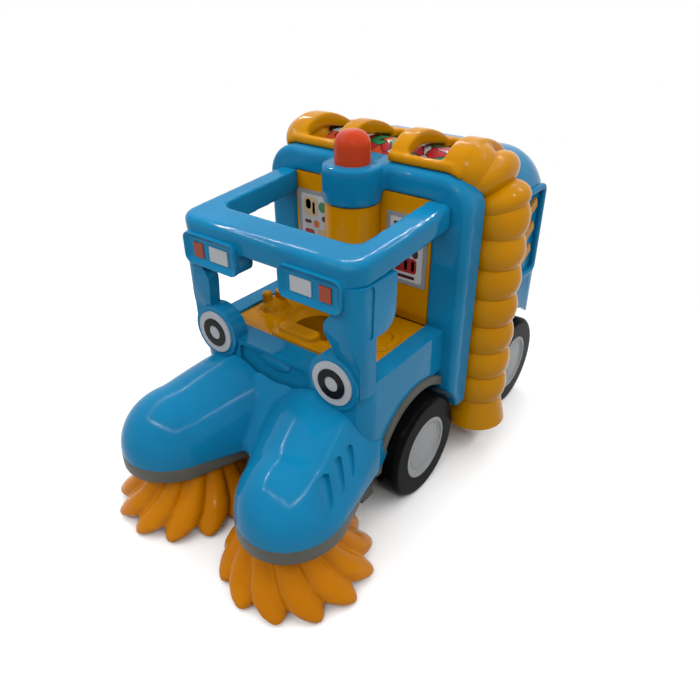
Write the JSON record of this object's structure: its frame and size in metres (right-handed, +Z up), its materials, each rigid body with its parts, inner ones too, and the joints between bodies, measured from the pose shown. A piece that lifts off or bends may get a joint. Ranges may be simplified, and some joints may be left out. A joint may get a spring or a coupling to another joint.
{
  "type": "toy street sweeper truck",
  "caption": "Moulded plastic toy street sweeper truck with turning brushes under a splayed nose, an open cab, a windowed litter drum and a ribbed hose over the hopper.",
  "frame": {"origin": "on the floor under the middle of the truck", "axes": "+Z up, front towards -Y, +X the truck's own left side"},
  "size_m": [0.1066, 0.18, 0.1243],
  "materials": {
    "blue_plastic": "glossy moulded blue plastic",
    "yellow_plastic": "glossy moulded warm yellow plastic",
    "grey_plastic": "satin moulded warm grey plastic",
    "orange_plastic": "glossy moulded red-orange plastic",
    "pale_plastic": "glossy pale printed plastic",
    "black_plastic": "glossy black plastic",
    "hub_plastic": "satin pale grey plastic",
    "drum_plastic": "plastic drum with a printed band",
    "steel": "plain steel pin",
    "tyre": "soft black tyre with a slight sheen"
  },
  "bodies": {
    "truck": {"chassis": "grey_plastic", "hood": "blue_plastic", "cab_body": "blue_plastic", "roof_frame": "blue_plastic", "bulkhead_frame": "blue_plastic", "hopper": "blue_plastic", "cab_back_wall": "yellow_plastic", "cab_column": "yellow_plastic", "cab_interior": "yellow_plastic", "console_knobs": "yellow_plastic", "hopper_arches": "yellow_plastic", "side_emblems": "yellow_plastic", "hose_left": "yellow_plastic", "hose_right": "yellow_plastic", "beacon": "orange_plastic", "headlamp_plates": "pale_plastic", "indicator_plates": "orange_plastic", "rear_lamps": "orange_plastic", "round_lamp_discs": "pale_plastic", "round_lamp_rings": "black_plastic", "wall_pictures": "pale_plastic"},
    "front_wheels": {"front_axle": "steel", "front_hubs": "hub_plastic", "front_tyre_left": "tyre", "front_tyre_right": "tyre"},
    "rear_wheels": {"rear_axle": "steel", "rear_hubs": "hub_plastic", "rear_tyre_left": "tyre", "rear_tyre_right": "tyre"},
    "left_brush": {"brush_left": "yellow_plastic"},
    "right_brush": {"brush_right": "yellow_plastic"},
    "drum": {"litter_drum": "drum_plastic"}
  },
  "joints": [
    {"name": "front_axle_spin", "type": "hinge", "parent": "truck", "child": "front_wheels", "pos_m": [0, -0.0095, 0.02], "axis": [1, 0, 0], "continuous": true},
    {"name": "rear_axle_spin", "type": "hinge", "parent": "truck", "child": "rear_wheels", "pos_m": [0, 0.0613, 0.02], "axis": [1, 0, 0], "continuous": true},
    {"name": "left_brush_spin", "type": "hinge", "parent": "truck", "child": "left_brush", "pos_m": [0.0267, -0.064, 0.02], "axis": [0, 0, 1], "continuous": true},
    {"name": "right_brush_spin", "type": "hinge", "parent": "truck", "child": "right_brush", "pos_m": [-0.0267, -0.064, 0.02], "axis": [0, 0, 1], "continuous": true},
    {"name": "drum_spin", "type": "hinge", "parent": "truck", "child": "drum", "pos_m": [0, 0.0304, 0.1032], "axis": [1, 0, 0], "continuous": true}
  ]
}
